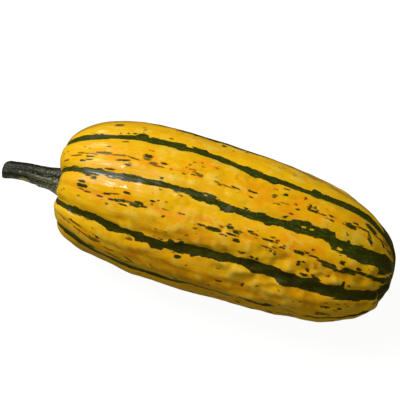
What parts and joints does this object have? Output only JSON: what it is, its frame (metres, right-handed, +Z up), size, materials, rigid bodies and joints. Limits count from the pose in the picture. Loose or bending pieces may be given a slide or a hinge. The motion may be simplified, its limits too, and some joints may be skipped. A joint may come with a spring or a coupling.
{
  "type": "delicata squash",
  "caption": "Oblong ribbed winter squash lying on its side, yellow with dark green stripes and flecks, with a short cut stem, for a kitchen, market or table display.",
  "frame": {"origin": "middle of the bounding box's underside, on the surface that the fruit rests on", "axes": "+X from the cut stem to the blossom end, along the longest extent; +Z up; the fruit lies on one rib"},
  "size_m": [0.2278, 0.0832, 0.0845],
  "materials": {
    "rind": "satin",
    "stem_skin": "matte"
  },
  "bodies": {
    "root": {"fruit": "rind", "stem": "stem_skin"}
  },
  "joints": []
}
